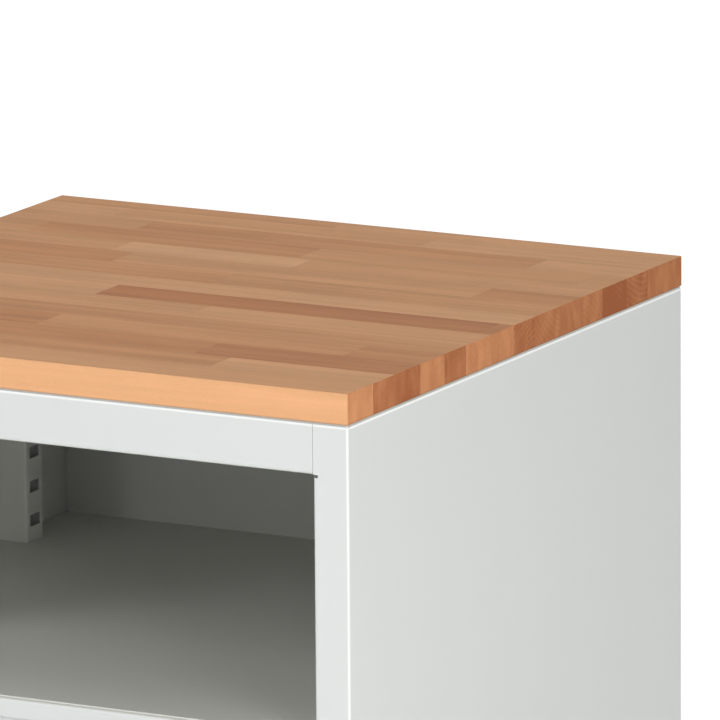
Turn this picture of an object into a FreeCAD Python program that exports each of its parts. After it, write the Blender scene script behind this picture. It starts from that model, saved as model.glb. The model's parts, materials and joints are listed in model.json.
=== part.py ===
import FreeCAD, Part
import math
import os

from FreeCAD import Vector

# Multi-drawer cabinet: folded sheet-steel casing with a solid beech worktop,
# an open bay under the top rail and a stack of full-extension drawers below it.
# Millimetres. The origin is on the floor under the middle of the casing,
# the front faces -Y, the right side faces +X and +Z is up.

# Casing, driving sizes
width = 700.0
depth = 700.0
top_thick = 30.0
top_edge_radius = 1.0
plinth_top = 100.0
foot_gap = 12.0
bottom_rail_height = 25.0
divider_height = 20.0
bay_height = 250.0
top_rail_height = 50.0
module = 35.0
drawer_modules = [5, 4, 3, 2, 2]

# Sheet and its folds
sheet = 1.5
casing_bend = 3.0
bend = 2.0
thick_bend = 3.0
stile_width = 37.0
stile_return = 20.0
notch_depth = 5.0
notch_height = 3.0
side_rear_flange = 25.0
rail_depth = 25.0
rail_lip = 12.0
top_rail_flange = 40.0
seam = 0.4
panel_play = 1.0
lap_play = 0.5

# Slotted uprights that carry the runners and the bay floor
upright_sheet = 2.0
upright_width = 34.0
upright_inset = 36.0
front_upright_at = 30.0
rear_upright_at = 557.0
slot_width = 20.0
slot_height = 12.0
slot_offset = 7.5
hook_reach = 4.0

# Plinth and levelling feet
plinth_sheet = 2.0
plinth_front_recess = 30.0
plinth_inset = 10.0
plinth_top_flange = 25.0
plinth_bottom_flange = 45.0
foot_inset = 24.0
pad_radius = 20.0
pad_height = 8.0
pad_neck_radius = 9.0
stud_radius = 5.0
stud_length = 48.0
nut_across = 17.0
nut_height = 8.0
thread_play = 0.1

# Bay floor and its four brackets
bay_floor_sheet = 1.5
bracket_sheet = 2.0
bracket_width = 18.0
bracket_leg = 22.0

# Telescopic runners
runner_height = 45.0
runner_centre = 32.0
runner_start = 25.0
runner_length = 600.0
runner_flange = 11.2
outer_sheet = 1.5
inner_sheet = 1.2
race_play = 0.3
hook_height = 8.0
hook_width = 16.0
hook_drop = 4.5
hook_sheet = 1.8

# Drawers
front_gap = 3.0
side_gap = 1.5
front_depth = 18.0
front_sheet = 1.2
tray_wall = 1.0
tray_bottom_rise = 8.0
tray_top_drop = 8.0
tray_depth = 602.0
rim_rounding = 0.7
hem_thick = 2.2
hem_height = 6.0
grip_height = 26.0
grip_wall = 2.0
grip_lip_drop = 12.0
grip_lip_thick = 3.5
lip_rounding = 0.48
grip_ledge = 2.5
grip_corner = 3.0
grip_cap_width = 6.0

# Central lock: cylinder in the right stile, cam and vertical bar behind it
lock_bezel_radius = 12.0
lock_body_radius = 9.5
lock_length = 15.0
lock_plug_radius = 6.0
lock_play = 0.05
lock_hole_play = 0.1
keyway_width = 1.6
keyway_height = 7.0
keyway_depth = 9.0
lock_backing = 2.0
cam_thick = 2.0
cam_gap = 0.4
cam_width = 9.0
cam_eye = 1.5
cam_pin_past = 0.8
bar_stroke = 8.0
lock_turn = 90.0
cam_pin_radius = 1.75
cam_slot_play = 0.4
bar_thick = 2.5
bar_width = 16.0
bar_clear = 1.0
bar_tail = 40.0
bar_head = 2.5
bar_offset = 3.0
tab_height = 5.0
tab_rise = 56.0
tab_reach = 8.0
tab_thick = 1.8
tab_inset = 4.0
lug_width = 10.0
lug_gap = 1.5
lug_play = 0.5
guide_height = 12.0
guide_wall = 2.2
guide_play = 0.3
guide_above = 16.0

# Worktop screws
screw_shank = 2.5
screw_head = 5.5
screw_head_height = 3.2
screw_bite = 20.0
screw_play = 0.1
screw_inset = 70.0

# Derived places
half_w = width / 2
front = -depth / 2
back = depth / 2
bottom_rail_top = plinth_top + bottom_rail_height
stack_height = module * sum(drawer_modules)
divider_bottom = bottom_rail_top + stack_height
divider_top = divider_bottom + divider_height
rail_bottom = divider_top + bay_height
casing_top = rail_bottom + top_rail_height
opening_half = half_w - stile_width
inner_x = half_w - sheet
upright_x = half_w - upright_inset
top_panel_low = casing_top - 2 * sheet
floor_top = plinth_top + 2 * sheet
back_face = back - 2 * sheet
front_upright_y = front + front_upright_at
rear_upright_y = front + rear_upright_at
bar_front = front + stile_return + bar_clear
bar_rear = bar_front + bar_thick

os.makedirs("parts", exist_ok=True)


def save(name, *solids):
    """Write one named piece, or a group of like pieces, to its own file."""
    shape = solids[0] if len(solids) == 1 else Part.makeCompound(list(solids))
    shape.exportStep("parts/" + name + ".step")
    print(name, len(shape.Solids), round(shape.Volume), shape.isValid())


def box(x0, x1, y0, y1, z0, z1):
    return Part.makeBox(x1 - x0, y1 - y0, z1 - z0, Vector(x0, y0, z0))


def rod(radius, length, start, direction):
    return Part.makeCylinder(radius, length, start, direction)


def mirrored(shape):
    """The same piece on the other side of the casing's middle plane."""
    return shape.mirror(Vector(0, 0, 0), Vector(1, 0, 0))


def joined(first, *others):
    return first.fuse(list(others)).removeSplitter()


def outline(points, radii, lift):
    """Closed outline through points, each corner rounded by its own radius."""
    count = len(points)
    edges = []
    ends = []
    for i, (point, radius) in enumerate(zip(points, radii)):
        here = Vector(point[0], point[1], 0)
        before = Vector(*points[i - 1], 0) - here
        after = Vector(*points[(i + 1) % count], 0) - here
        before.normalize()
        after.normalize()
        if radius <= 0:
            ends.append((here, here, here))
            continue
        half = before.getAngle(after) / 2
        reach = radius / math.tan(half)
        middle = before + after
        middle.normalize()
        centre = here + middle * (radius / math.sin(half))
        ends.append((here + before * reach, centre - middle * radius, here + after * reach))
    for i, (start, mid, end) in enumerate(ends):
        if (end - start).Length > 1e-6:
            edges.append(Part.Arc(lift(start), lift(mid), lift(end)).toShape())
        following = ends[(i + 1) % count][0]
        if (following - end).Length > 1e-6:
            edges.append(Part.LineSegment(lift(end), lift(following)).toShape())
    return Part.Face(Part.Wire(edges))


def profile_x(points, radii, x0, x1):
    """Outline given as (y, z), run along X."""
    face = outline(points, radii, lambda p: Vector(x0, p.x, p.y))
    return face.extrude(Vector(x1 - x0, 0, 0))


def profile_y(points, radii, y0, y1):
    """Outline given as (x, z), run along Y."""
    face = outline(points, radii, lambda p: Vector(p.x, y0, p.y))
    return face.extrude(Vector(0, y1 - y0, 0))


def profile_z(points, radii, z0, z1):
    """Outline given as (x, y), run along Z."""
    face = outline(points, radii, lambda p: Vector(p.x, p.y, z0))
    return face.extrude(Vector(0, 0, z1 - z0))


def folded(skin, thick, radius, side):
    """Outline of a sheet folded along the skin line, with its thickness on one side.

    side is 1 where the sheet lies to the left of the line, -1 to the right.
    radius is the bend's outer radius.
    """
    far = []
    skin_radii = [0]
    far_radii = [0]
    steps = [(b[0] - a[0], b[1] - a[1]) for a, b in zip(skin, skin[1:])]
    units = [(dx / math.hypot(dx, dy), dy / math.hypot(dx, dy)) for dx, dy in steps]
    normals = [(-side * uy, side * ux) for ux, uy in units]
    far.append((skin[0][0] + thick * normals[0][0], skin[0][1] + thick * normals[0][1]))
    for i in range(1, len(skin) - 1):
        (ax, ay), (bx, by) = normals[i - 1], normals[i]
        scale = thick / (1 + ax * bx + ay * by)
        far.append((skin[i][0] + scale * (ax + bx), skin[i][1] + scale * (ay + by)))
        turn = units[i - 1][0] * units[i][1] - units[i - 1][1] * units[i][0]
        towards = turn * side > 0
        skin_radii.append(radius if towards else radius - thick)
        far_radii.append(radius - thick if towards else radius)
    far.append((skin[-1][0] + thick * normals[-1][0], skin[-1][1] + thick * normals[-1][1]))
    skin_radii.append(0)
    far_radii.append(0)
    return skin + far[::-1], skin_radii + far_radii[::-1]


def rounded_pan(lows, highs, thick, radius, open_side):
    """Box of sheet with rounded folds, open on one side: -x, +y or +z."""
    axis = "xyz".index(open_side[1])
    sign = -1 if open_side[0] == "-" else 1

    def block(shrink, round_by):
        low = [v + shrink for v in lows]
        high = [v - shrink for v in highs]
        if sign < 0:
            low[axis] = lows[axis] - (1 if shrink else 0)
        else:
            high[axis] = highs[axis] + (1 if shrink else 0)
        solid = box(low[0], high[0], low[1], high[1], low[2], high[2])
        open_at = low[axis] if sign < 0 else high[axis]
        edges = []
        for edge in solid.Edges:
            ends = [(v.X, v.Y, v.Z)[axis] for v in edge.Vertexes]
            if not all(abs(e - open_at) < 1e-6 for e in ends):
                edges.append(edge)
        return solid.makeFillet(round_by, edges)

    return block(0, radius).cut(block(thick, radius - thick))


# Worktop: solid beech board, flush with the casing on all sides.
# Screws come up through the top panel into pilot holes.
screw_places = []
for x in (-half_w + screw_inset, 0, half_w - screw_inset):
    for y in (front + screw_inset, back - screw_inset):
        screw_places.append((x, y))

worktop = box(-half_w, half_w, front, back, casing_top, casing_top + top_thick)
worktop = worktop.makeFillet(top_edge_radius, worktop.Edges)
screw_tip = top_panel_low + sheet + screw_bite
for x, y in screw_places:
    worktop = worktop.cut(rod(screw_shank + screw_play, screw_tip + lap_play - casing_top,
                              Vector(x, y, casing_top), Vector(0, 0, 1)))
save("worktop", worktop)

screws = []
for x, y in screw_places:
    head = rod(screw_head, screw_head_height,
               Vector(x, y, top_panel_low - screw_head_height), Vector(0, 0, 1))
    head = head.makeChamfer(screw_head_height / 3, [head.Edges[2]])
    shank = rod(screw_shank, screw_tip - top_panel_low, Vector(x, y, top_panel_low), Vector(0, 0, 1))
    screws.append(joined(head, shank))
save("worktop_screws", *screws)

# Top panel: flat sheet under the flanges of the side panels and the top rail.
# The flat sheets end short of the casing's folds, whose inside is rounded.
panel_x = half_w - casing_bend - lap_play
panel_front = front + casing_bend + lap_play
top_panel = box(-panel_x, panel_x, panel_front, back_face, top_panel_low, top_panel_low + sheet)
for x, y in screw_places:
    top_panel = top_panel.cut(rod(screw_shank + screw_play, sheet, Vector(x, y, top_panel_low),
                                  Vector(0, 0, 1)))
save("top_panel", top_panel)

# Floor panel: flat sheet on the bottom flanges
save("floor_panel", box(-panel_x, panel_x, panel_front, back_face, plinth_top + sheet, floor_top))

# Side panels: one sheet folded into the side, the front stile with its return,
# the rear flange and the top and bottom flanges
side = rounded_pan((opening_half, front, plinth_top), (half_w, back, casing_top),
                   sheet, casing_bend, "-x")
side = side.cut(box(opening_half, half_w - side_rear_flange, back - sheet, back,
                    plinth_top + sheet, casing_top - sheet))
side = side.cut(box(opening_half, opening_half + notch_depth, front, front + sheet,
                    bottom_rail_top, rail_bottom))
return_fold = folded([(opening_half + notch_depth, front), (opening_half, front),
                      (opening_half, front + stile_return)], sheet, casing_bend, -1)
side = joined(side, profile_z(*return_fold, bottom_rail_top + notch_height,
                              rail_bottom - notch_height))
left_side = mirrored(side)

# The right stile also takes the lock: its round bezel fills this hole
lock_x = half_w - stile_width / 2
lock_z = divider_bottom + divider_height / 2
side = side.cut(rod(lock_bezel_radius + lock_hole_play, sheet, Vector(lock_x, front, lock_z),
                    Vector(0, 1, 0)))
save("left_side_panel", left_side)
save("right_side_panel", side)

# Back panel, spot-welded to the rear flanges from inside
save("back_panel", box(-panel_x, panel_x, back_face, back - sheet,
                       plinth_top + casing_bend + lap_play, casing_top - casing_bend - lap_play))

# Front rails: channels butted between the stiles with a fine seam
rail_x = opening_half - seam
rail_back = front + rail_depth
top_rail = folded([(rail_back, rail_bottom + rail_lip), (rail_back, rail_bottom),
                   (front, rail_bottom), (front, casing_top),
                   (front + top_rail_flange, casing_top)], sheet, casing_bend, -1)
save("top_rail", profile_x(*top_rail, -rail_x, rail_x))

divider = folded([(rail_back, divider_bottom), (front, divider_bottom),
                  (front, divider_top), (rail_back, divider_top)], sheet, casing_bend, -1)
save("divider_rail", profile_x(*divider, -rail_x, rail_x))

bottom_rail = folded([(rail_back, bottom_rail_top - rail_lip), (rail_back, bottom_rail_top),
                      (front, bottom_rail_top), (front, plinth_top),
                      (front + rail_depth, plinth_top)], sheet, casing_bend, 1)
save("bottom_rail", profile_x(*bottom_rail, -rail_x, rail_x))

# Uprights: channels welded to the side panels, with a row of slots facing inwards
slot_levels = []
level = bottom_rail_top + slot_offset
while level + slot_height < top_panel_low:
    slot_levels.append(level)
    level += module


def upright(y_front):
    y_rear = y_front + upright_width
    channel = folded([(inner_x, y_front), (upright_x, y_front), (upright_x, y_rear),
                      (inner_x, y_rear)], upright_sheet, thick_bend, -1)
    solid = profile_z(*channel, floor_top, top_panel_low)
    middle = (y_front + y_rear) / 2
    cuts = []
    for z in slot_levels:
        cuts.append(box(upright_x, upright_x + upright_sheet, middle - slot_width / 2,
                        middle + slot_width / 2, z - slot_height / 2, z + slot_height / 2))
    return solid.cut(Part.makeCompound(cuts))


for place, y in (("front", front_upright_y), ("rear", rear_upright_y)):
    post = upright(y)
    save(place + "_right_upright", post)
    save(place + "_left_upright", mirrored(post))

# Bay floor: sheet notched round the uprights, lying on the divider rail and four brackets.
# It is narrower between the stiles, and its wide part starts behind the lock bar.
bay_floor_low = divider_top
bay_floor_high = divider_top + bay_floor_sheet
tongue_x = opening_half - side_gap
wide_from = bar_rear + panel_play
bay_floor = joined(
    box(-panel_x, panel_x, wide_from, back_face, bay_floor_low, bay_floor_high),
    box(-tongue_x, tongue_x, front + casing_bend + panel_play, wide_from, bay_floor_low,
        bay_floor_high))
for y in (front_upright_y, rear_upright_y):
    for sign in (-1, 1):
        ends = sorted((sign * (upright_x - panel_play), sign * half_w))
        bay_floor = bay_floor.cut(box(ends[0], ends[1], y - panel_play,
                                      y + upright_width + panel_play, bay_floor_low,
                                      bay_floor_high))
save("bay_floor", bay_floor)

bracket_slot = max(z for z in slot_levels if z + slot_height / 2 < divider_top)
slot_low = bracket_slot - slot_height / 2
brackets = []
for y in (front_upright_y, rear_upright_y):
    middle = y + upright_width / 2
    y0 = middle - bracket_width / 2
    y1 = middle + bracket_width / 2
    angle = folded([(upright_x, slot_low), (upright_x, divider_top),
                    (upright_x - bracket_leg, divider_top)], bracket_sheet, thick_bend, 1)
    hook = box(upright_x - bracket_sheet, upright_x + hook_reach, y0, y1, slot_low,
               slot_low + slot_height / 2)
    bracket = joined(profile_y(*angle, y0, y1), hook)
    brackets += [bracket, mirrored(bracket)]
save("bay_floor_brackets", *brackets)

# Plinth: folded ring set back at the front, standing on four levelling feet
plinth_x = half_w - plinth_inset
plinth_front = front + plinth_front_recess
plinth_back = back - plinth_inset
plinth = box(-plinth_x, plinth_x, plinth_front, plinth_back, foot_gap, plinth_top)
upright_edges = [e for e in plinth.Edges
                 if abs(e.Vertexes[0].X - e.Vertexes[-1].X) < 1e-6
                 and abs(e.Vertexes[0].Y - e.Vertexes[-1].Y) < 1e-6]
plinth = plinth.makeFillet(thick_bend, upright_edges)


def plinth_core(inset, z0, z1):
    return box(-plinth_x + inset, plinth_x - inset, plinth_front + inset, plinth_back - inset,
               z0, z1)


plinth = plinth.cut(plinth_core(plinth_sheet, foot_gap + plinth_sheet, plinth_top - plinth_sheet))
plinth = plinth.cut(plinth_core(plinth_top_flange, plinth_top - plinth_sheet, plinth_top))
plinth = plinth.cut(plinth_core(plinth_bottom_flange, foot_gap, foot_gap + plinth_sheet))
foot_places = []
for x in (-plinth_x + foot_inset, plinth_x - foot_inset):
    for y in (plinth_front + foot_inset, plinth_back - foot_inset):
        foot_places.append((x, y))
pads = []
studs = []
for x, y in foot_places:
    plinth = plinth.cut(rod(stud_radius + thread_play, plinth_sheet, Vector(x, y, foot_gap),
                            Vector(0, 0, 1)))
    pad = rod(pad_radius, pad_height, Vector(x, y, 0), Vector(0, 0, 1))
    pad = pad.makeFillet(pad_height / 4, [pad.Edges[0]])
    neck = rod(pad_neck_radius, foot_gap - pad_height, Vector(x, y, pad_height), Vector(0, 0, 1))
    socket = rod(stud_radius + thread_play, foot_gap, Vector(x, y, pad_height / 2),
                 Vector(0, 0, 1))
    pads.append(joined(pad, neck).cut(socket))
    stud = rod(stud_radius, stud_length, Vector(x, y, pad_height / 2), Vector(0, 0, 1))
    corner = nut_across / math.sqrt(3)
    hexagon = []
    for i in range(6):
        turn = math.radians(60 * i)
        hexagon.append((x + corner * math.cos(turn), y + corner * math.sin(turn)))
    nut_low = foot_gap + plinth_sheet
    nut = profile_z(hexagon, [0] * 6, nut_low, nut_low + nut_height)
    nut = nut.cut(rod(stud_radius + thread_play, nut_height, Vector(x, y, nut_low),
                      Vector(0, 0, 1)))
    studs += [stud, nut]
save("plinth_frame", plinth)
save("foot_pads", *pads)
save("foot_studs", *studs)

# Runner sections, nested C-channels with a running gap where the ball races lie.
# Each function gives the right-hand member; the left one is its mirror image.
runner_y0 = front + runner_start
runner_y1 = runner_y0 + runner_length
outer_web = upright_x - race_play
middle_sheet = inner_sheet


def channel_run(web_x, flange, half_height, thick, opens_in, centre):
    """C-section along Y with its web at web_x, open inwards or outwards."""
    tip = web_x - flange if opens_in else web_x + flange
    line = [(tip, centre - half_height), (web_x, centre - half_height),
            (web_x, centre + half_height), (tip, centre + half_height)]
    section = folded(line, thick, bend, 1 if opens_in else -1)
    return profile_y(*section, runner_y0, runner_y1)


def cabinet_rail(centre, hook_low):
    rail = channel_run(outer_web, runner_flange, runner_height / 2, outer_sheet, True, centre)
    for y in (front_upright_y, rear_upright_y):
        middle = y + upright_width / 2
        y0 = middle - hook_width / 2
        y1 = middle + hook_width / 2
        far = upright_x + upright_sheet + race_play + hook_sheet
        arm = box(outer_web - outer_sheet, far, y0, y1, hook_low, hook_low + hook_height)
        drop = box(far - hook_sheet, far, y0, y1, hook_low - hook_drop, hook_low + hook_height)
        rail = rail.fuse([arm, drop])
    return rail.removeSplitter()


middle_half = runner_height / 2 - outer_sheet - race_play
middle_web = outer_web - outer_sheet - race_play
inner_half = middle_half - middle_sheet - race_play
inner_flange_tip = middle_web - middle_sheet - race_play
tray_x = outer_web - runner_flange - race_play - inner_sheet


def middle_rail(centre):
    flange = middle_web - (outer_web - runner_flange)
    return channel_run(middle_web, flange, middle_half, middle_sheet, True, centre)


def drawer_rail(centre):
    return channel_run(tray_x, inner_flange_tip - tray_x, inner_half, inner_sheet, False, centre)


# Lock bar, behind the right stile. Its tabs stand above each drawer's lug at rest
# and drop in front of the lugs when the lock is turned.
bar_x0 = lock_x - bar_width / 2 + bar_offset
bar_x1 = bar_x0 + bar_width
tab_rear = bar_rear + tab_thick
tab_x = opening_half - tab_reach
lug_x = opening_half - tab_reach / 2
lug_y = tab_rear + lug_gap


def lock_lug(base):
    """Ear bent up from the right-hand drawer section, level with the lowered tab."""
    top = base + tab_rise + tab_height - lug_play
    ear = box(tray_x, tray_x + inner_sheet, lug_y, lug_y + lug_width, base + runner_centre, top)
    shelf = box(tray_x, lug_x, lug_y, lug_y + lug_width, top - inner_sheet, top)
    lip = box(lug_x - inner_sheet, lug_x, lug_y, lug_y + lug_width, top - tab_height, top)
    return joined(ear, shelf, lip)


def drawer_tray(base, height):
    """Five sheets welded at their edges; the four walls end in a rolled rim."""
    low = base + tray_bottom_rise
    high = base + height - tray_top_drop
    y0 = front + front_depth
    y1 = y0 + tray_depth
    inner_x = tray_x - tray_wall
    rim_x = tray_x - hem_thick
    rim_low = high - hem_height

    def rounded(wall):
        edges = [e for e in wall.Edges if e.Length > hem_height
                 and all(abs(v.Z - high) < 1e-6 for v in e.Vertexes)]
        return wall.makeFillet(rim_rounding, edges)

    side = rounded(joined(box(inner_x, tray_x, y0, y1, low, high),
                          box(rim_x, inner_x, y0, y1, rim_low, high)))
    near = joined(box(-inner_x, inner_x, y0, y0 + tray_wall, low, high),
                  box(-rim_x, rim_x, y0 + tray_wall, y0 + hem_thick, rim_low, high))
    far = joined(box(-inner_x, inner_x, y1 - tray_wall, y1, low, high),
                 box(-rim_x, rim_x, y1 - hem_thick, y1 - tray_wall, rim_low, high))
    bottom = box(-inner_x, inner_x, y0 + tray_wall, y1 - tray_wall, low, low + tray_wall)
    return side, mirrored(side), near, far, bottom


def drawer_front(base, height):
    x = opening_half - side_gap
    return rounded_pan((-x, front, base + front_gap / 2),
                       (x, front + front_depth, base + height - front_gap / 2 - grip_height),
                       front_sheet, bend, "+y")


def drawer_grip(base, height):
    """Aluminium section with an upturned lip in front of a finger channel."""
    x = opening_half - side_gap - grip_cap_width
    top = base + height - front_gap / 2
    low = top - grip_height
    rear = front + front_depth
    points = [(rear, top), (rear, low), (front, low), (front, top - grip_lip_drop),
              (front + grip_lip_thick, top - grip_lip_drop),
              (front + grip_lip_thick, low + grip_ledge),
              (rear - grip_wall, low + grip_ledge), (rear - grip_wall, top)]
    tip = grip_lip_thick * lip_rounding
    radii = [0, 0, grip_corner, tip, tip, grip_corner, grip_corner, grip_wall / 2]
    return profile_x(points, radii, -x, x)


def grip_cap(base, height):
    """Moulded end cap that closes the channel at one end."""
    x1 = opening_half - side_gap
    top = base + height - front_gap / 2
    low = top - grip_height
    rear = front + front_depth
    points = [(rear, top), (rear, low), (front, low), (front, top - grip_lip_drop),
              (rear - grip_wall - grip_lip_drop / 2, top)]
    radii = [0, 0, grip_corner, grip_corner, grip_corner]
    return profile_x(points, radii, x1 - grip_cap_width, x1)


# Drawers, from the bottom one up
base = bottom_rail_top
drawer_bases = []
for number, count in enumerate(drawer_modules, 1):
    height = module * count
    name = "drawer_%d_" % number
    centre = base + runner_centre
    slot = min(z for z in slot_levels if z > centre)
    outer = cabinet_rail(centre, slot - slot_height / 2)
    middle = middle_rail(centre)
    inner = drawer_rail(centre)
    cap = grip_cap(base, height)
    save(name + "cabinet_rails", outer, mirrored(outer))
    save(name + "middle_rails", middle, mirrored(middle))
    save(name + "drawer_rails", joined(inner, lock_lug(base)), mirrored(inner))
    save(name + "tray", *drawer_tray(base, height))
    save(name + "front", drawer_front(base, height))
    save(name + "grip", drawer_grip(base, height))
    save(name + "grip_caps", cap, mirrored(cap))
    drawer_bases.append(base)
    base += height

# Lock cylinder: housing with a bezel flush in the stile and a turning plug with a keyway
housing = joined(
    rod(lock_bezel_radius, sheet, Vector(lock_x, front, lock_z), Vector(0, 1, 0)),
    rod(lock_bezel_radius + lock_backing, lock_backing, Vector(lock_x, front + sheet, lock_z),
        Vector(0, 1, 0)),
    rod(lock_body_radius, lock_length, Vector(lock_x, front, lock_z), Vector(0, 1, 0)))
housing = housing.cut(rod(lock_plug_radius + lock_play, lock_length,
                          Vector(lock_x, front, lock_z), Vector(0, 1, 0)))
save("lock_housing", housing)

cam_front = front + lock_length + cam_gap
cam_rear = cam_front + cam_thick
plug = rod(lock_plug_radius, cam_front - front, Vector(lock_x, front, lock_z), Vector(0, 1, 0))
plug = plug.cut(box(lock_x - keyway_width / 2, lock_x + keyway_width / 2, front,
                    front + keyway_depth, lock_z - keyway_height / 2, lock_z + keyway_height / 2))
save("lock_plug", plug)

# Cam: arm with a pin. The pin swings evenly above and below the plug's own level,
# so the bar's travel follows the turn nearly in proportion.
half_turn = math.radians(lock_turn / 2)
cam_reach = bar_stroke / (2 * math.sin(half_turn))
pin_x = lock_x + cam_reach * math.cos(half_turn)
pin_z = lock_z + cam_reach * math.sin(half_turn)
arm = joined(rod(cam_width / 2, cam_thick, Vector(lock_x, cam_front, lock_z), Vector(0, 1, 0)),
             rod(cam_pin_radius + cam_eye, cam_thick, Vector(pin_x, cam_front, pin_z),
                 Vector(0, 1, 0)))
pin = rod(cam_pin_radius, bar_rear + cam_pin_past - cam_front, Vector(pin_x, cam_front, pin_z),
          Vector(0, 1, 0))
save("lock_cam", joined(arm, pin))

# The bar has a cross slot for the cam's pin, and a tab riveted on above each drawer's lug
slot_half = cam_pin_radius + cam_slot_play
bar = box(bar_x0, bar_x1, bar_front, bar_rear, bottom_rail_top + bar_tail,
          pin_z + slot_half + bar_head)
tab_lows = [base + tab_rise + bar_stroke for base in drawer_bases]
bar = bar.cut(box(pin_x - slot_half, lock_x + cam_reach + slot_half, bar_front, bar_rear,
                  pin_z - slot_half, pin_z + slot_half))
save("lock_bar", bar)
save("lock_tabs", *[box(tab_x, bar_x1 - tab_inset, bar_rear, tab_rear, low, low + tab_height)
                    for low in tab_lows])

# Guides on the front of the front right upright hold the bar and let it slide
guides = []
for low in (tab_lows[0], tab_lows[1], tab_lows[-2]):
    z0 = low + tab_height + guide_above
    block = box(bar_x0 - guide_wall - guide_play, bar_x1 + guide_wall + guide_play,
                bar_front - guide_wall, front_upright_y, z0, z0 + guide_height)
    guides.append(block.cut(box(bar_x0 - guide_play, bar_x1 + guide_play, bar_front - guide_play,
                                bar_rear + guide_play, z0, z0 + guide_height)))
save("lock_bar_guides", *guides)

print("overall", width, depth, casing_top + top_thick)
print("drawer bases", drawer_bases, "cam reach", round(cam_reach, 3))
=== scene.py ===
# %% [markdown]
# # A steel cabinet with drawers and a beech worktop
# The real object is a free-standing cabinet of folded sheet steel. Five drawers run on
# telescopic rails, an open bay sits above them, and a board of joined beech staves
# lies on top. The solids arrive from CAD with their places and their joints, so this
# lesson never models the cabinet again. It dresses it: camera, finishes, small
# fittings, light. We load the solids first and keep their outer box, because the
# dressed cabinet must not outgrow it.

# %% Load the cabinet and keep its box
import json
import math
import bpy
from mathutils import Matrix, Vector


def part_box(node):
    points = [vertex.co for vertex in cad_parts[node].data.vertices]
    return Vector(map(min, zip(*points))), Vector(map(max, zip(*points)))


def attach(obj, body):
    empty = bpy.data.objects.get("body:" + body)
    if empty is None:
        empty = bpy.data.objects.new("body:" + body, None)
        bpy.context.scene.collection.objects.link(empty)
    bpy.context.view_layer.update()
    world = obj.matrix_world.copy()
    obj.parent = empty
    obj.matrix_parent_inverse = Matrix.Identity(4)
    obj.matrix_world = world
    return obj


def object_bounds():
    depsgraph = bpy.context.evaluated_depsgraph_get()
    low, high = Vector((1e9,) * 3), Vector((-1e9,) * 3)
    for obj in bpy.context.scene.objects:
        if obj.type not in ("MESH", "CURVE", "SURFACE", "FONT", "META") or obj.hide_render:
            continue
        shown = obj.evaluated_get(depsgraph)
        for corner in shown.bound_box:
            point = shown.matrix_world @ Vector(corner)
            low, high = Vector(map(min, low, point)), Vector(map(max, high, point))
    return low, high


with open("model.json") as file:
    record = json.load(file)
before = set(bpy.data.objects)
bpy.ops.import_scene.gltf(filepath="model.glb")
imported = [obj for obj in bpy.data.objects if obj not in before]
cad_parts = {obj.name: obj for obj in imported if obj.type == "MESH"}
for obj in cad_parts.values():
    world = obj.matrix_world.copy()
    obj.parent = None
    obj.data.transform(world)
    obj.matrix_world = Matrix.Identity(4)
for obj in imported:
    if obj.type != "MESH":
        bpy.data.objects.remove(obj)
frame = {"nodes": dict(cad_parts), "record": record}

cad_low, cad_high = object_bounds()
casing_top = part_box("worktop")[0].z
print("box from", tuple(cad_low), "to", tuple(cad_high))

# %% [markdown]
# ## The camera
# The picture to match looks at the upper right front corner from the right and a
# little above, through a long lens, so that upright edges stay almost parallel. A
# camera can be pointed with a constraint, but then its roll and its aim are hidden in
# the solver. Here its three axes are worked out from azimuth, elevation and roll, and
# written straight into its matrix. The camera stands at a known distance from one
# point of the cabinet, the corner just under the board.

# %% Stand the camera
view_azimuth = 0.48853873       # radians
view_elevation = 0.21405764
view_roll = 0.00763944
view_distance = 9.2102          # metres from the corner
view_slip = (-0.011214, -0.060723)      # the corner's place right and up of the middle
picture_width = 720.0
lens_in_pixels = 9985.0
sensor_width = 36.0             # millimetres
view_end = 200.0
corner = Vector((cad_high.x, cad_low.y, casing_top))


def camera_axes(azimuth, elevation, roll):
    """Right, up and back of a camera that looks at the scene from these angles."""
    back = Vector((math.sin(azimuth) * math.cos(elevation),
                   -math.cos(azimuth) * math.cos(elevation), math.sin(elevation)))
    right = Vector((math.cos(azimuth), math.sin(azimuth), 0.0))
    up = back.cross(right)
    turned_right = math.cos(roll) * right - math.sin(roll) * up
    turned_up = math.sin(roll) * right + math.cos(roll) * up
    return turned_right, turned_up, back


right, up, back = camera_axes(view_azimuth, view_elevation, view_roll)
eye = corner + view_distance * back - view_slip[0] * right - view_slip[1] * up
camera = bpy.data.objects.new("camera", bpy.data.cameras.new("camera"))
camera.data.sensor_width = sensor_width
camera.data.lens = sensor_width * lens_in_pixels / picture_width
camera.data.clip_end = view_end
camera.matrix_world = Matrix((
    (right.x, up.x, back.x, eye.x), (right.y, up.y, back.y, eye.y),
    (right.z, up.z, back.z, eye.z), (0, 0, 0, 1)))
bpy.context.scene.collection.objects.link(camera)
bpy.context.scene.camera = camera
bpy.context.scene.view_settings.view_transform = "Standard"
print("camera at", tuple(round(v, 3) for v in eye))
print("lens", round(camera.data.lens, 1), "mm")

# %% [markdown]
# ## Sums instead of node webs
# A procedural finish is a sum over position: which stave is this point in, how far is
# it from an edge, how dark is the grain here. Drawn by hand that is a web of boxes.
# The class below wraps one socket and turns Python's own operators into Math nodes,
# so that a finish reads like the sum it is. Every other kind of node comes from its
# one method, which sets the node's settings first and its sockets after.

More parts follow.
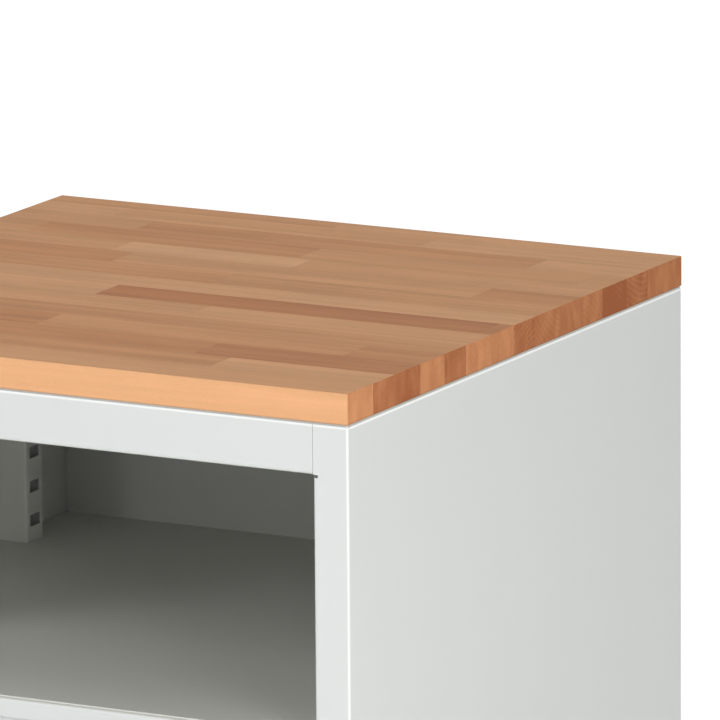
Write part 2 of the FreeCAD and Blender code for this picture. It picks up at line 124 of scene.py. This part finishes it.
# %% A socket that can be added, multiplied and compared
class Flow:
    """One output of a node tree. Sums of flows add Math nodes to the tree."""

    def __init__(self, tree, socket=None):
        self.tree = tree
        self.socket = socket

    def node(self, kind, settings=None, sockets=None, out=0):
        """Adds a node, with its settings, then the values or links of its sockets."""
        made = self.tree.nodes.new(kind)
        for name, value in (settings or {}).items():
            if name == "stops":
                ramp = made.color_ramp.elements
                while len(ramp) < len(value):
                    ramp.new(1.0)
                for stop, (place, colour) in zip(ramp, value):
                    stop.position = place
                    stop.color = colour
            else:
                setattr(made, name, value)
        for name, value in (sockets or {}).items():
            if isinstance(value, Flow):
                self.tree.links.new(value.socket, made.inputs[name])
            else:
                made.inputs[name].default_value = value
        return Flow(self.tree, made.outputs[out] if len(made.outputs) else None)

    def math(self, operation, *others):
        """A Math node on this number and the others."""
        values = dict(enumerate((self,) + others))
        return self.node("ShaderNodeMath", {"operation": operation}, values)

    def __add__(self, other): return self.math("ADD", other)
    def __radd__(self, other): return self.math("ADD", other)
    def __sub__(self, other): return self.math("SUBTRACT", other)
    def __rsub__(self, other): return (self * -1.0) + other
    def __mul__(self, other): return self.math("MULTIPLY", other)
    def __rmul__(self, other): return self.math("MULTIPLY", other)
    def __truediv__(self, other): return self.math("DIVIDE", other)
    def __gt__(self, other): return self.math("GREATER_THAN", other)
    def __lt__(self, other): return self.math("LESS_THAN", other)
    def __abs__(self): return self.math("ABSOLUTE")

    def floor(self): return self.math("FLOOR")
    def sine(self): return self.math("SINE")
    def least(self, other): return self.math("MINIMUM", other)
    def most(self, other): return self.math("MAXIMUM", other)

    def near(self, value, reach=0.5):
        """1 where this is within reach of the value, else 0."""
        return self.math("COMPARE", value, reach)

    def rise(self, start, end):
        """0 up to start, 1 from end on, and a soft step between them."""
        return self.node("ShaderNodeMapRange",
                         {"interpolation_type": "SMOOTHSTEP"},
                         {"Value": self, "From Min": start, "From Max": end})

    def towards(self, other, share):
        """This number moved towards another by a share of the way."""
        return self + (other - self) * share


print("sums ready:", ", ".join(n for n in dir(Flow) if not n.startswith("_")))

# %% [markdown]
# Every finish starts the same way: a new material, its shader, and the point on the
# piece in metres. Object coordinates are used everywhere, because the solids all sit
# at the origin and a pattern then lies in the cabinet's own frame. Noise is read
# through a stretch, so that one helper serves powder coat, brushed metal and wood.

# %% Start a finish
finishes = {}


def start_finish(name, **constants):
    """A new material. Gives its flow, its shader node and x, y, z of the point."""
    material = bpy.data.materials.new(name)
    material.use_nodes = True
    material.node_tree.nodes.clear()
    flow = Flow(material.node_tree)
    shader = flow.node("ShaderNodeBsdfPrincipled", sockets={
        socket.replace("_", " "): value for socket, value in constants.items()})
    flow.node("ShaderNodeOutputMaterial", sockets={"Surface": shader})
    place = flow.node("ShaderNodeTexCoord", out="Object")
    apart = flow.node("ShaderNodeSeparateXYZ", sockets={"Vector": place})
    x, y, z = (Flow(flow.tree, s) for s in apart.socket.node.outputs)
    finishes[name] = material
    return flow, shader.socket.node, (x, y, z)


def feed(shader, socket, flow):
    """Links a flow to a socket of the shader."""
    shader.id_data.links.new(flow.socket, shader.inputs[socket])


def cloud(place, stretch, detail=3.0, seed=0.0, rough=0.5):
    """Noise from 0 to 1 at a point, with so many waves per metre along x, y and z."""
    x, y, z = place
    point = x.node("ShaderNodeCombineXYZ", sockets={
        "X": x * stretch[0] + seed, "Y": y * stretch[1], "Z": z * stretch[2]})
    return x.node("ShaderNodeTexNoise", {"noise_dimensions": "3D"},
                  {"Vector": point, "Scale": 1.0, "Detail": detail, "Roughness": rough})


def chance(x, *numbers):
    """A steady random number from 0 to 1 for up to three whole numbers."""
    parts = dict(zip("XYZ", numbers))
    point = x.node("ShaderNodeCombineXYZ", sockets=parts)
    return x.node("ShaderNodeTexWhiteNoise", {"noise_dimensions": "3D"}, {"Vector": point})


def tint(flow, first, second, share):
    """One colour mixed into another by a share from 0 to 1."""
    return flow.node("ShaderNodeMix", {"data_type": "RGBA"},
                     {0: share, 6: first, 7: second}, out=2)


def shade(colour, amount):
    """A colour made darker or lighter by a factor."""
    return colour.node("ShaderNodeVectorMath", {"operation": "SCALE"},
                       {0: colour, "Scale": amount})


def plain(flow, colour):
    """One plain colour as a flow, so that it can be shaded."""
    return flow.node("ShaderNodeCombineColor", sockets={
        "Red": colour[0], "Green": colour[1], "Blue": colour[2]})


def dent(flow, height, depth):
    """A bump of so many metres where the height flow is 1."""
    return flow.node("ShaderNodeBump", sockets={
        "Height": height, "Distance": depth, "Strength": 1.0})


print("helpers ready")

# %% [markdown]
# ## The beech board
# The worktop is a board of beech staves, each about 48 mm wide and mostly 250 to
# 550 mm long, glued edge to edge and end to end. Their tones differ, and beech
# shows fine short flecks instead of bold rings. A picture texture would repeat and
# would not fit the board's own staves. Instead the point's row across the board and
# its place along the row give two whole numbers, and these pick the stave's tone and
# the part of the grain it shows. A few staves that catch the eye are named one by one.
# The two ends show end grain: darker, with arcs of growth rings cut across. The last
# number in each call for a chance has no meaning. It only tells the draws apart.

# %% The staves of the board
stave_width = 0.048
shortest_stave, stave_spread = 0.26, 0.26
glue_line = (0.0001, 0.0007)    # where the glue's dark line starts and ends
foot_line = (0.0002, 0.0020)    # the board's lower edge just above the casing, painted darker as a painted shadow
ring_waves = 1150.0             # growth rings, in radians per metre
end_facing = (0.55, 0.85)       # how far a face must turn to the side to show end grain
pore_depth = 0.00012
long_grain = (2.2, 85.0, 60.0)          # waves per metre along x, y and z
slow_grain = (1.1, 16.0, 12.0)
fleck_grain = (260.0, 1500.0, 1500.0)
pore_grain = (1300.0, 1300.0, 1300.0)
beech_tones = (     # place on the scale from dark to light, colour
    (0.0, (0.560, 0.229, 0.102, 1.0)), (0.22, (0.660, 0.308, 0.141, 1.0)),
    (0.5, (0.752, 0.391, 0.194, 1.0)), (1.0, (0.845, 0.474, 0.250, 1.0)))
end_dark, end_light = (0.345, 0.108, 0.038, 1.0), (0.690, 0.312, 0.142, 1.0)
named_staves = (
    # row, where the stave starts and ends along x, tone from 0 dark to 1 light
    (0, -0.400, 0.400, 0.58),
    (1, 0.177, 0.600, 0.74),
    (2, 0.137, 0.560, 0.16),
    (4, -0.260, 0.420, 0.46),
    (6, -0.080, 0.335, 0.00),
    (7, 0.089, 0.480, 0.84),
    (10, -0.170, 0.032, 0.92),
    (12, -0.198, 0.240, 0.34),
)
named_ends = (      # row, tone of its end grain
    (0, 0.78), (2, 0.10), (3, 0.60), (4, 0.22), (5, 0.70), (6, 0.60), (11, 0.0))


def beech_board():
    """The whole board: staves, glue lines, long grain and end grain."""
    flow, shader, place = start_finish("beech", Specular_IOR_Level=0.16, IOR=1.45)
    x, y, z = place
    ragged = (cloud(place, (18.0, 420.0, 420.0), detail=2.0) - 0.5) * 0.045
    across = ((y - cad_low.y) / stave_width + ragged).most(0.001)
    wander = (across * 4.1).sine() * 0.055
    row = (across + wander).floor()
    length = chance(x, row, 3.0) * stave_spread + shortest_stave
    begin = chance(x, row, 7.0) * length
    for number, start, end, tone in named_staves:
        here = row.near(number)
        length = length.towards(end - start, here)
        begin = begin.towards(start, here)
    along = (x - begin) / length
    stave = along.floor()
    tone = chance(x, row, stave, 5.0) * 0.62 + 0.20
    for number, start, end, wanted in named_staves:
        tone = tone.towards(wanted, row.near(number) * stave.near(0.0))

    # distance to the nearest glue line, in metres
    part = across + wander - row
    below = part + (row < 0.5)      # the first stave has no neighbour in front of it
    side_gap = below.least(1.0 - part) * stave_width
    bit = along - stave
    end_gap = bit.least(1.0 - bit) * length
    glue = 1.0 - side_gap.least(end_gap).rise(*glue_line)

    # long grain: slow bands that run along the stave, and short flecks
    seed = chance(x, stave, row, 2.0) * 40.0
    bands = cloud(place, long_grain, detail=5.0, seed=seed, rough=0.62)
    slow = cloud(place, slow_grain, detail=2.0, seed=seed)
    flecks = cloud(place, fleck_grain, detail=1.0).rise(0.60, 0.74)

    # end grain: arcs round a heart that lies below or above each stave
    turn = chance(x, row, 11.0)
    heart_y = (row + 0.5 + (turn - 0.5) * 2.4) * stave_width + cad_low.y
    heart_z = (chance(x, row, 13.0).near(0.0, 0.5) - 0.5) * 0.13 + (cad_high.z - 0.015)
    far_y, far_z = y - heart_y, z - heart_z
    radius = (far_y * far_y + far_z * far_z).math("SQRT")
    wavy = cloud(place, (30.0, 30.0, 30.0), seed=seed) * 9.0
    rings = (radius * ring_waves + wavy).sine() * 0.5 + 0.5
    pores = cloud(place, pore_grain, detail=1.0).rise(0.52, 0.68)
    normal = flow.node("ShaderNodeTexCoord", out="Normal")
    facing = flow.node("ShaderNodeSeparateXYZ", sockets={"Vector": normal})
    at_end = abs(facing).rise(*end_facing)

    tones = flow.node("ShaderNodeValToRGB", {"stops": beech_tones}, {
        "Fac": tone + (slow - 0.5) * 0.50 + (bands - 0.5) * 0.30})
    clouds = cloud(place, (9.0, 24.0, 24.0), detail=3.0, seed=seed)
    grain = 1.0 + (bands - 0.5) * 0.34 + (slow - 0.5) * 0.22 + (clouds - 0.5) * 0.22
    # painted shadow: the board's lowest strip, where it meets the casing, is painted darker
    foot = 1.0 - (z - casing_top).rise(*foot_line)
    face = shade(tones, grain - flecks * 0.13 - glue * 0.10 - foot * 0.16)
    end_tone = chance(x, row, stave, 17.0) * 0.28 + 0.24
    for number, wanted in named_ends:
        end_tone = end_tone.towards(wanted, row.near(number))
    blotch = cloud(place, (40.0, 75.0, 28.0), detail=3.0, seed=seed)
    marked = chance(x, row, 23.0).rise(0.25, 0.9) * 0.14 + 0.02
    end_tone = end_tone - rings * marked + (blotch - 0.5) * 0.9
    end_colour = tint(flow, end_dark, end_light, end_tone)
    end_face = shade(end_colour, 1.05 - pores * 0.08 - glue * 0.12 - foot * 0.25)
    feed(shader, "Base Color", tint(flow, face, end_face, at_end))
    feed(shader, "Roughness", 0.62 + (bands - 0.5) * 0.12 + at_end * 0.16)
    height = bands * 0.5 - flecks * 0.5 - glue * 0.8 - pores * at_end
    feed(shader, "Normal", dent(flow, height, pore_depth))


beech_board()
print("board:", round((cad_high.y - cad_low.y) / stave_width, 1), "rows of staves")

# %% [markdown]
# ## Powder coat
# The casing is bent from sheet and powder coated light grey. A powder coat is not
# smooth: it has a fine orange peel of about two millimetres that only shows where a
# lamp is mirrored in it. Over a fold it is a little shinier and is painted paler, a
# painted highlight that gives the casing its bright lines; under the board's edge a
# strip is painted darker, a painted shadow. The inside gets less spray and looks a
# shade yellower. One sheet then needs several tones, and the choice is made from the
# point's place: on the outer skin or behind it, near a fold or away from it. The back
# also shows a row of shallow round marks where the back panel is spot-welded to the folded
# edges.

# %% The casing's coat, outside and inside
casing_light = (0.640, 0.660, 0.652, 1.0)
# a fold's paler colour is a painted highlight
casing_fold_highlight = (0.820, 0.830, 0.825, 1.0)
side_fold_highlight = (0.960, 0.965, 0.955, 1.0)      # the side's upper fold gets the palest painted highlight
casing_inside = (0.645, 0.651, 0.613, 1.0)
coat_gloss = 0.45
skin = 0.0006           # how deep the outer skin reaches into the sheet
back_skin = 0.0019      # the back panel lies one sheet behind the folded edges
skin_edge = 0.0002
fold_line = (0.0012, 0.0026)        # an upright fold, from the casing's corner inwards
top_fold_line = (0.0034, 0.0050)    # the fold under the board, from its top down
board_shadow_line = (0.0012, 0.0028)      # the part of that fold that the board shades, painted darker as a painted shadow
front_fold = 0.004      # how far the front's own fold reaches back
weld_pitch = 0.070
weld_inset = 0.0125
weld_mark = (0.0020, 0.0030)
weld_sink = 12.0        # depth of a weld mark, in depths of the peel
casing_peel, coat_peel_depth = 0.00003, 0.00005
peel_waves = (420.0, 420.0, 420.0)
cloud_waves, rubbed_waves = (3.0, 3.0, 3.0), (14.0, 14.0, 9.0)


def coat_peel(place):
    """The orange peel of a powder coat."""
    return cloud(place, peel_waves, detail=1.5)


def coat_wear(place):
    """Faint clouds of tone, and the spots that cloths have rubbed."""
    return (cloud(place, cloud_waves, detail=3.0),
            cloud(place, rubbed_waves, detail=4.0, seed=5.0))


def powder_coat(name, colour, roughness, **constants):
    """A plain coat of one colour, with peel, faint clouds and rubbed shine."""
    flow, shader, place = start_finish(name, **constants)
    clouds, rubbed = coat_wear(place)
    feed(shader, "Base Color", shade(plain(flow, colour), 0.985 + clouds * 0.03))
    feed(shader, "Roughness", roughness - 0.05 + rubbed * 0.1)
    feed(shader, "Normal", dent(flow, coat_peel(place), coat_peel_depth))


def past(distance, edge):
    """1 beyond an edge, in metres from the cabinet's middle."""
    return distance.rise(edge - skin_edge, edge)


def casing_coat():
    """The coat of the casing's sheets, told apart by place."""
    flow, shader, place = start_finish("casing_coat", Specular_IOR_Level=coat_gloss)
    x, y, z = place
    outside = past(abs(x), cad_high.x - skin)
    front = past(y * -1.0, -cad_low.y - skin)
    rear = past(y, cad_high.y - back_skin)
    shell = outside.most(front).most(rear)

    # the rounded folds, painted paler as a painted highlight, and the strip of the upper one
    # that the board shades, painted darker as a painted shadow
    side_left = cad_high.x - abs(x)
    front_left = cad_high.y - abs(y)
    top_left = casing_top - z
    fold_side = 1.0 - side_left.most(front_left).rise(*fold_line)
    flat_back = rear * (side_left > weld_inset * 2.0)
    fold_top = (1.0 - top_left.rise(*top_fold_line)) * (1.0 - flat_back)
    board_shadow = 1.0 - top_left.rise(*board_shadow_line)
    fold = fold_side.most(fold_top) * (1.0 - board_shadow)
    clouds, rubbed = coat_wear(place)
    # painted highlight: the folds are painted paler, the side's upper fold palest
    wear_and_highlight = tint(flow, casing_fold_highlight, side_fold_highlight, fold_top * (front_left > front_fold))
    # painted shadow: the strip under the board is painted half as dark
    outer = shade(tint(flow, casing_light, wear_and_highlight, fold), 1.0 - board_shadow * 0.50)
    colour = tint(flow, casing_inside, outer, shell.most(fold))
    feed(shader, "Base Color", shade(colour, 0.985 + clouds * 0.03))
    feed(shader, "Roughness", 0.32 + rubbed * 0.08 - fold * 0.10)

    # the round marks of the spot welds, in a row up each folded edge of the back
    weld_z = z / weld_pitch
    off_z = (weld_z - weld_z.floor() - 0.5) * weld_pitch
    off_x = abs(x) - (cad_high.x - weld_inset)
    away = (off_z * off_z + off_x * off_x).math("SQRT")
    weld = (1.0 - away.rise(*weld_mark)) * rear
    feed(shader, "Normal", dent(flow, coat_peel(place) - weld * weld_sink, casing_peel))


casing_coat()
powder_coat("front_coat", casing_light, 0.42, Specular_IOR_Level=coat_gloss)
powder_coat("inner_coat", casing_inside, 0.55)
powder_coat("plinth_coat", (0.075, 0.077, 0.078), 0.55)
powder_coat("tray_coat", (0.46, 0.48, 0.48), 0.45)
print("coats:", ", ".join(n for n in finishes if n.endswith("coat")))

# %% [markdown]
# ## Metals and plastic
# Zinc plate is a thin, slightly blue mirror over drawn steel: long faint drawing
# lines, and soft spots where the bath left it duller. The grips are extruded
# aluminium, satin from anodising, with lines along the extrusion. The lock is satin
# chrome, darker than zinc. Feet and end caps are black plastic with the fine grain of
# an eroded mould.

# %% Zinc, aluminium, chrome, plastic
def drawn_metal(name, colour, roughness, lines, depth=0.00002, spots=0.08):
    """Bare or plated metal with drawing lines, duller spots and little else."""
    flow, shader, place = start_finish(name, Metallic=1.0)
    streaks = cloud(place, lines, detail=3.0)
    patches = cloud(place, (35.0, 35.0, 35.0), detail=4.0, seed=9.0)
    tone = 0.93 + streaks * 0.07 + patches * 0.05
    feed(shader, "Base Color", shade(plain(flow, colour), tone))
    feed(shader, "Roughness", roughness + (patches - 0.5) * spots * 2.0 + streaks * 0.06)
    feed(shader, "Normal", dent(flow, streaks, depth))


drawn_metal("runner_zinc", (0.52, 0.545, 0.57), 0.34, (900.0, 4.0, 900.0))
drawn_metal("fitting_zinc", (0.57, 0.60, 0.62), 0.34, (60.0, 60.0, 60.0))
drawn_metal("grip_metal", (0.52, 0.53, 0.54), 0.40, (3.0, 1400.0, 1400.0), spots=0.02)
drawn_metal("lock_chrome", (0.44, 0.44, 0.45), 0.22, (90.0, 90.0, 90.0), 0.000004, 0.03)


plastic_black = (0.022, 0.022, 0.023)
grit_waves, grit_depth = (2600.0, 2600.0, 2600.0), 0.00004


def moulded_plastic():
    """Black plastic with the grain of its mould."""
    flow, shader, place = start_finish("moulded_plastic")
    grit = cloud(place, grit_waves, detail=1.0)
    wear_and_highlight = cloud(place, (60.0, 60.0, 60.0), detail=3.0)
    feed(shader, "Base Color", shade(plain(flow, plastic_black), 0.85 + wear_and_highlight * 0.3))
    feed(shader, "Roughness", 0.5 + grit * 0.14)
    feed(shader, "Normal", dent(flow, grit, grit_depth))


moulded_plastic()
print("finishes:", ", ".join(finishes))

# %% [markdown]
# ## Every solid gets its finish
# A solid's record names the material slot that it is made of. One table turns slots
# into finishes, so a solid added later is dressed without a new line here.

# %% Dress the solids
finish_of_slot = {
    "beech": "beech", "casing_paint": "casing_coat", "interior_paint": "inner_coat",
    "plinth_paint": "plinth_coat", "front_paint": "front_coat", "tray_paint": "tray_coat",
    "grip_aluminium": "grip_metal", "black_plastic": "moulded_plastic",
    "runner_zinc": "runner_zinc", "lock_chrome": "lock_chrome", "zinc_steel": "fitting_zinc"}
for piece in frame["record"]["subparts"]:
    solid = frame["nodes"][piece["node"]]
    material = finishes[finish_of_slot[piece["material_slot"]]]
    solid.data.materials.clear()
    solid.data.materials.append(material)
back_panel = frame["nodes"]["back_panel"]       # its outer face is part of the skin
back_panel.data.materials[0] = finishes["casing_coat"]

# %% [markdown]
# ## Heads in a row
# Screws and rivets come in rows: four screws behind each drawer's front, and three
# rivets on each side where a runner is fixed to the tray. Copying one head by hand
# would work once, and then every change is made fifty times. A Geometry Nodes tree
# makes the row from its sizes instead: a line of points carries one head, and the
# instances are made real. The class above also writes such trees, because a field of
# positions adds and multiplies as a shader's numbers do.

# %% Trees with named inputs
def new_tree(name, inputs):
    """An empty tree with named inputs. Gives its flow and a flow for each input."""
    tree = bpy.data.node_groups.new(name, "GeometryNodeTree")
    for title, kind in inputs.items():
        tree.interface.new_socket(
            name=title, in_out="INPUT", socket_type="NodeSocket" + kind)
    tree.interface.new_socket(
        name="Mesh", in_out="OUTPUT", socket_type="NodeSocketGeometry")
    flow = Flow(tree)
    sockets = flow.node("NodeGroupInput").socket.node.outputs
    return flow, {title: Flow(tree, sockets[title]) for title in inputs}


def end_tree(flow, geometry, finish):
    """Makes the instances real, sets their material and closes the tree."""
    real = flow.node("GeometryNodeRealizeInstances", sockets={"Geometry": geometry})
    dressed = flow.node("GeometryNodeSetMaterial", sockets={
        "Geometry": real, "Material": finish})
    flow.node("NodeGroupOutput", sockets={0: dressed})
    return flow.tree


def run_tree(tree, name, values):
    """Runs a tree with these input values and keeps the result as a plain mesh."""
    carrier = bpy.data.objects.new("carrier", bpy.data.meshes.new("carrier"))
    bpy.context.scene.collection.objects.link(carrier)
    modifier = carrier.modifiers.new("tree", "NODES")
    modifier.node_group = tree
    for item in tree.interface.items_tree:
        if item.in_out == "INPUT":
            modifier[item.identifier] = values[item.name]
    solved = carrier.evaluated_get(bpy.context.evaluated_depsgraph_get())
    mesh = bpy.data.meshes.new_from_object(solved)
    carrier.modifiers.remove(modifier)
    bpy.data.objects.remove(carrier)
    piece = bpy.data.objects.new(name, mesh)
    bpy.context.scene.collection.objects.link(piece)
    return piece


# %% A row of screw heads or rivet heads
dome_share = 0.45               # how much a head's middle stands up, in its own heights
cross_length, cross_width = 1.15, 0.24      # in head radii
cross_depth, cross_lift = 1.2, 0.75         # in head heights
head_sides, head_rings = 20, 3


def heads_row(name, crossed):
    """Heads on a line of points, domed, and with a cross cut into them for screws."""
    flow, given = new_tree(name, {
        "Count": "Int", "Start": "Vector", "Step": "Vector", "Turn": "Vector",
        "Radius": "Float", "Height": "Float", "Finish": "Material"})
    line = flow.node("GeometryNodeMeshLine", {"mode": "OFFSET"}, {
        "Count": given["Count"], "Start Location": given["Start"], "Offset": given["Step"]})
    disc = flow.node("GeometryNodeMeshCylinder", {"fill_type": "TRIANGLE_FAN"}, {
        "Vertices": head_sides, "Fill Segments": head_rings,
        "Radius": given["Radius"], "Depth": given["Height"]})
    place = flow.node("GeometryNodeInputPosition")
    x, y, z = (Flow(flow.tree, s) for s in flow.node(
        "ShaderNodeSeparateXYZ", sockets={"Vector": place}).socket.node.outputs)
    out = (x * x + y * y) / (given["Radius"] * given["Radius"])
    lift = flow.node("ShaderNodeCombineXYZ", sockets={
        "Z": (z > 0.0) * (1.0 - out) * given["Height"] * dome_share})
    head = flow.node("GeometryNodeSetPosition", sockets={"Geometry": disc, "Offset": lift})
    if crossed:
        for long_side, short_side in (("X", "Y"), ("Y", "X")):
            size = flow.node("ShaderNodeCombineXYZ", sockets={
                long_side: given["Radius"] * cross_length,
                short_side: given["Radius"] * cross_width,
                "Z": given["Height"] * cross_depth})
            bar = flow.node("GeometryNodeMeshCube", sockets={"Size": size})
            up_a_bit = flow.node("ShaderNodeCombineXYZ", sockets={
                "Z": given["Height"] * cross_lift})
            raised = flow.node("GeometryNodeTransform", sockets={
                "Geometry": bar, "Translation": up_a_bit})
            head = flow.node("GeometryNodeMeshBoolean", {"operation": "DIFFERENCE"},
                             {0: head, 1: raised})
    turn = flow.node("FunctionNodeEulerToRotation", sockets={"Euler": given["Turn"]})
    row = flow.node("GeometryNodeInstanceOnPoints", sockets={
        "Points": line, "Instance": head, "Rotation": turn})
    return end_tree(flow, row, given["Finish"])


screw_row = heads_row("screw_row", True)
rivet_row = heads_row("rivet_row", False)
print("trees:", screw_row.name, rivet_row.name)

# %% [markdown]
# The screws sit on the inside of a tray's near wall, level with the middle of the front
# that they hold. The rivets sit on the inside of both side walls, level with the
# runner. Both places are read from the solids' boxes, so the rows follow the cabinet.

# %% Screws and rivets of the five drawers
quarter = math.pi / 2
drawers = 5
tray_wall = 0.001
sunk = 0.0002       # a head reaches into its wall, so that no gap shows
screws_per_front, screw_radius, screw_height = 4, 0.0042, 0.0018
rivets_per_side, rivet_radius, rivet_height = 3, 0.0036, 0.0010
rivet_inset = 0.060


def join(name, pieces):
    """One mesh from several pieces, at the origin."""
    with bpy.context.temp_override(active_object=pieces[0], selected_editable_objects=pieces):
        bpy.ops.object.join()
    pieces[0].name = name
    return pieces[0]


for number in range(1, drawers + 1):
    drawer = "drawer_%d" % number
    low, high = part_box(drawer + "_tray")
    front_low, front_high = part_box(drawer + "_front")
    middle = (front_low.z + front_high.z) / 2
    pitch = (high.x - low.x) / screws_per_front
    screws = run_tree(screw_row, drawer + "_front_screws", {
        "Count": screws_per_front, "Step": (pitch, 0.0, 0.0), "Turn": (-quarter, 0.0, 0.0),
        "Start": (low.x + pitch / 2, low.y + tray_wall - sunk, middle),
        "Radius": screw_radius, "Height": screw_height, "Finish": finishes["fitting_zinc"]})
    rail_low, rail_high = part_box(drawer + "_middle_rails")
    level = (rail_low.z + rail_high.z) / 2
    step = (high.y - low.y - 2 * rivet_inset) / (rivets_per_side - 1)
    sides = []
    for side, wall in ((-1, low.x + tray_wall - sunk), (1, high.x - tray_wall + sunk)):
        sides.append(run_tree(rivet_row, "side", {
            "Count": rivets_per_side, "Start": (wall, low.y + rivet_inset, level),
            "Step": (0.0, step, 0.0), "Turn": (0.0, -side * quarter, 0.0),
            "Radius": rivet_radius, "Height": rivet_height,
            "Finish": finishes["fitting_zinc"]}))
    rivets = join(drawer + "_runner_rivets", sides)
    for piece in (screws, rivets):
        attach(piece, drawer)
    print(drawer, "screws at", round(middle, 4), "rivets at", round(level, 4))

# %% [markdown]
# ## Ribs round the feet
# The black feet are turned by hand to level the cabinet, and their rims are ribbed for
# grip. One ring of ribs stands on a circle of points. The ring is then set on four
# points itself, so the second step multiplies the first, and nothing is counted twice.

# %% A ring of ribs on each of the four feet
pad_radius = 0.020
ribs_per_foot, rib_sides, rib_width = 36, 8, 0.0016
rib_low, rib_high = 0.0026, 0.0074


def foot_ribs():
    """The tree that sets a ring of ribs on each of four points."""
    flow, given = new_tree("foot_ribs", {
        "Ribs": "Int", "Rim": "Float", "Width": "Float", "Height": "Float",
        "Apart X": "Float", "Apart Y": "Float", "Middle": "Vector", "Finish": "Material"})
    rim = flow.node("GeometryNodeMeshCircle", sockets={
        "Vertices": given["Ribs"], "Radius": given["Rim"]})
    rib = flow.node("GeometryNodeMeshCylinder", sockets={
        "Vertices": rib_sides, "Radius": given["Width"] * 0.5, "Depth": given["Height"]})
    ring = flow.node("GeometryNodeInstanceOnPoints", sockets={"Points": rim, "Instance": rib})
    feet = flow.node("GeometryNodeMeshGrid", sockets={
        "Size X": given["Apart X"], "Size Y": given["Apart Y"],
        "Vertices X": 2, "Vertices Y": 2})
    rings = flow.node("GeometryNodeInstanceOnPoints", sockets={
        "Points": feet, "Instance": ring})
    placed = flow.node("GeometryNodeTransform", sockets={
        "Geometry": rings, "Translation": given["Middle"]})
    return end_tree(flow, placed, given["Finish"])


pads_low, pads_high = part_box("foot_pads")
ribs = run_tree(foot_ribs(), "foot_pad_ribs", {
    "Ribs": ribs_per_foot, "Rim": pad_radius - rib_width / 4, "Width": rib_width,
    "Height": rib_high - rib_low, "Apart X": pads_high.x - pads_low.x - 2 * pad_radius,
    "Apart Y": pads_high.y - pads_low.y - 2 * pad_radius,
    "Middle": ((pads_low.x + pads_high.x) / 2, (pads_low.y + pads_high.y) / 2,
               (rib_low + rib_high) / 2), "Finish": finishes["moulded_plastic"]})
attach(ribs, "casing")
print("ribs:", len(ribs.data.polygons), "faces")

# %% [markdown]
# ## Light and floor
# The cabinet stands in a plain studio. A lamp's strength is easier to judge as a
# level: 1 means that a white card facing it renders just white. The front should come
# to about 1.1, the side a little less and falling off to the back, the top about half.
# A tall soft box on the left and a lower one on the right do most of it. A small lamp
# near the camera reaches the bay's rear wall and draws the shadow of its left edge
# there. A box behind the cabinet and one above it keep the back and the inside of an
# open drawer readable, and the sky fills the rest. The floor is matt and nearly white.
# It glows a little for the camera and for mirrored rays, so that it meets the white
# background without a line, and it still takes the cabinet's shadow.

# %% Lamps by level
aim = Vector((0.0, 0.0, 0.75))


def lamp(name, azimuth, elevation, distance, width, height, level, colour):
    """A soft box that gives this level on a card facing it at the target."""
    a, e = math.radians(azimuth), math.radians(elevation)
    back = Vector((math.sin(a) * math.cos(e), -math.cos(a) * math.cos(e), math.sin(e)))
    data = bpy.data.lights.new(name, "AREA")
    data.shape = "RECTANGLE"
    data.size, data.size_y = width, height
    data.energy = level * math.pi ** 2 * distance ** 2
    made = bpy.data.objects.new(name, data)
    data.color = colour
    made.location = aim + distance * back
    made.rotation_euler = back.to_track_quat("Z", "Y").to_euler()
    made.visible_camera = False
    bpy.context.scene.collection.objects.link(made)
    print("lamp", name, "level", level, "at", distance, "m")


white, warm = (1.0, 1.0, 1.0), (1.0, 1.0, 0.975)
for settings in (
        # name, azimuth, elevation, distance, width, height, level, colour
        ("left_box", -31.0, 18.0, 4.0, 0.9, 3.2, 0.35, white),
        ("right_box", 52.0, 4.0, 2.9, 0.9, 1.4, 0.435, warm),
        ("front_lamp", -5.6, 8.0, 6.0, 0.16, 0.5, 0.029, white),
        ("rear_box", 153.0, 14.0, 4.0, 1.2, 1.8, 0.13, warm),
        ("top_box", -20.0, 78.0, 4.0, 2.0, 2.0, 0.08, white)):
    lamp(*settings)

# %% Sky and floor
sky_level = 0.46
floor_size = 60.0
floor_grey = (0.86, 0.86, 0.86, 1.0)
floor_glow = 0.72


def seen_directly(flow):
    """1 for the camera's rays and for rays that metal or glass sends on."""
    rays = flow.node("ShaderNodeLightPath").socket.node.outputs
    camera_ray, glossy, through = (
        Flow(flow.tree, rays[name])
        for name in ("Is Camera Ray", "Is Glossy Ray", "Is Transmission Ray"))
    return camera_ray.most(glossy).most(through)


world = bpy.data.worlds.new("studio")
bpy.context.scene.world = world
world.use_nodes = True
world.node_tree.nodes.clear()
sky = Flow(world.node_tree)
glow = sky.node("ShaderNodeBackground", sockets={
    "Strength": sky_level + seen_directly(sky) * (1.0 - sky_level)})
sky.node("ShaderNodeOutputWorld", sockets={"Surface": glow})

bpy.ops.mesh.primitive_plane_add(size=floor_size)
floor = bpy.context.object
floor.name = "floor"
flow, shader, place = start_finish(
    "floor_paint", Base_Color=floor_grey, Roughness=0.9, Specular_IOR_Level=0.0,
    Emission_Color=(1.0, 1.0, 1.0, 1.0))
feed(shader, "Emission Strength", seen_directly(flow) * floor_glow)
floor.data.materials.append(finishes["floor_paint"])
print("floor", tuple(floor.dimensions))

# %% Print the solids' box
print("solids' box", tuple(cad_low), tuple(cad_high))
